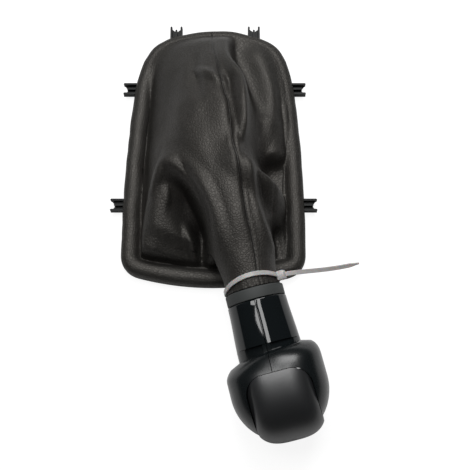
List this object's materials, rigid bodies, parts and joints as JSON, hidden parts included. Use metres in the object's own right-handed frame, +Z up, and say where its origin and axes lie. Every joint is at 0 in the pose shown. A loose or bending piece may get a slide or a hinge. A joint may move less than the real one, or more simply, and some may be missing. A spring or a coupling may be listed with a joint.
{
  "type": "gear knob",
  "caption": "Car gear knob in two half shells with a palm cap, tied to a slack leather-look gaiter on a clip-in frame, laid flat.",
  "frame": {"origin": "middle of the gaiter frame's front bar, on its underside", "axes": "+Z up from the surface the frame lies on, +Y towards the frame's arched rear end, +X to the right in the picture; the knob leans over the front bar towards -Y"},
  "size_m": [0.1512, 0.2698, 0.0565],
  "materials": {
    "frame_plastic": "fine moulded grain, black",
    "gaiter_leather": "grained leather-look, charcoal",
    "tie_nylon": "natural nylon, off-white",
    "collar_plastic": "matt charcoal",
    "gloss_black": "piano gloss black",
    "cap_soft_black": "soft satin black",
    "core_nylon": "matt black",
    "clamp_steel": "bright steel"
  },
  "bodies": {
    "root": {"gaiter_frame": "frame_plastic", "gaiter": "gaiter_leather", "cable_tie": "tie_nylon", "gaiter_collar": "collar_plastic", "shell_left": "gloss_black", "shell_right": "gloss_black", "palm_cap": "cap_soft_black", "knob_core": "core_nylon", "lever_clamp": "clamp_steel"}
  },
  "joints": []
}
